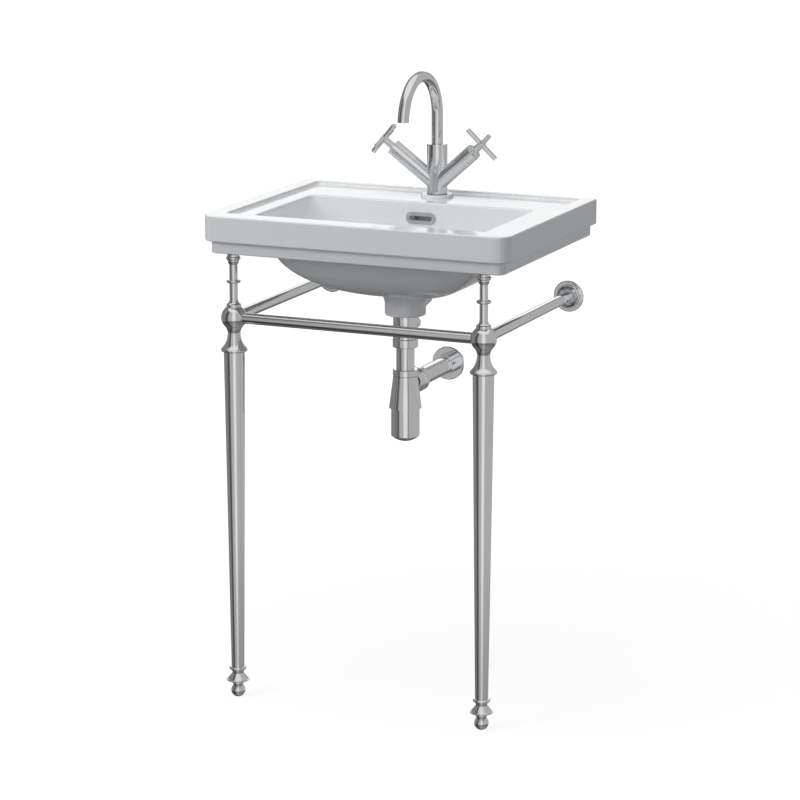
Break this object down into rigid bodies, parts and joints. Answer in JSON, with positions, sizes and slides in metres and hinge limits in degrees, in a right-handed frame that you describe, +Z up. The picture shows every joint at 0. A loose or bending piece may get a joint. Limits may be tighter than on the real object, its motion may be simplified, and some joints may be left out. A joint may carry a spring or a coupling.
{
  "type": "console sink with legs",
  "caption": "Wall-fixed ceramic console basin on turned chrome front legs and wall rails, with a cross-head mixer tap, push-plug waste and bottle trap.",
  "frame": {"origin": "on the wall face of the basin, midway between the two wall-bolt holes", "axes": "+Z up, -Y out of the wall towards the user, +X to the user's right when facing the basin"},
  "size_m": [0.56, 0.465, 1.0805],
  "materials": {
    "ceramic": "glossy white glaze",
    "chrome": "polished chrome plate",
    "brass": "machined brass",
    "steel": "plain steel",
    "rubber": "matt black rubber"
  },
  "bodies": {
    "stand": {"basin": "ceramic", "overflow_trim": "chrome", "flange_seal": "rubber", "cone_seal": "rubber", "back_nut": "brass", "waste_body": "chrome", "plug_latch": "brass", "port_seal": "rubber", "port_nut": "chrome", "tap_body": "chrome", "base_gasket": "rubber", "fixing_stud": "brass", "rubber_horseshoe": "rubber", "steel_horseshoe": "steel", "stud_nut": "brass", "spout_stop": "steel", "left_valve": "chrome", "right_valve": "chrome", "tail_nut": "chrome", "trap_washers": "rubber", "dip_pipe": "chrome", "ring_nut": "chrome", "trap_head": "chrome", "cup_seal": "rubber", "trap_cup": "chrome", "outlet_nut": "chrome", "outlet_pipe": "chrome", "outlet_flange": "chrome", "basin_pads": "rubber", "left_pillar": "chrome", "right_pillar": "chrome", "left_knot": "chrome", "right_knot": "chrome", "knot_screws": "steel", "leg_studs": "steel", "left_leg": "chrome", "right_leg": "chrome", "ankles": "chrome", "front_rail": "chrome", "side_rails": "chrome", "left_wall_flange": "chrome", "right_wall_flange": "chrome", "wall_brackets": "steel"},
    "spout": {"spout": "chrome", "aerator": "steel", "spout_seals": "rubber"},
    "left_tap": {"left_spindle": "steel", "left_handle": "chrome", "left_handle_screw": "steel"},
    "right_tap": {"right_spindle": "steel", "right_handle": "chrome", "right_handle_screw": "steel"},
    "plug": {"waste_plug": "chrome", "plug_seal": "rubber"},
    "left_foot": {"left_foot": "chrome"},
    "right_foot": {"right_foot": "chrome"}
  },
  "joints": [
    {"name": "spout_swivel", "type": "hinge", "parent": "stand", "child": "spout", "pos_m": [0, -0.055, 0.12], "axis": [0, 0, 1], "range_deg": [-60, 60]},
    {"name": "left_tap_turn", "type": "hinge", "parent": "stand", "child": "left_tap", "pos_m": [0, -0.055, 0.059], "axis": [-0.749, -0.1771, 0.6385], "range_deg": [0, 90]},
    {"name": "right_tap_turn", "type": "hinge", "parent": "stand", "child": "right_tap", "pos_m": [0, -0.055, 0.059], "axis": [0.749, -0.1771, 0.6385], "range_deg": [-90, 0]},
    {"name": "plug_slide", "type": "slide", "parent": "stand", "child": "plug", "axis": [0, 0, 1], "range_m": [-0.008, 0]},
    {"name": "left_foot_screw", "type": "slide", "parent": "stand", "child": "left_foot", "axis": [0, 0, -1], "range_m": [0, 0.012]},
    {"name": "right_foot_screw", "type": "slide", "parent": "stand", "child": "right_foot", "axis": [0, 0, -1], "range_m": [0, 0.012]}
  ]
}
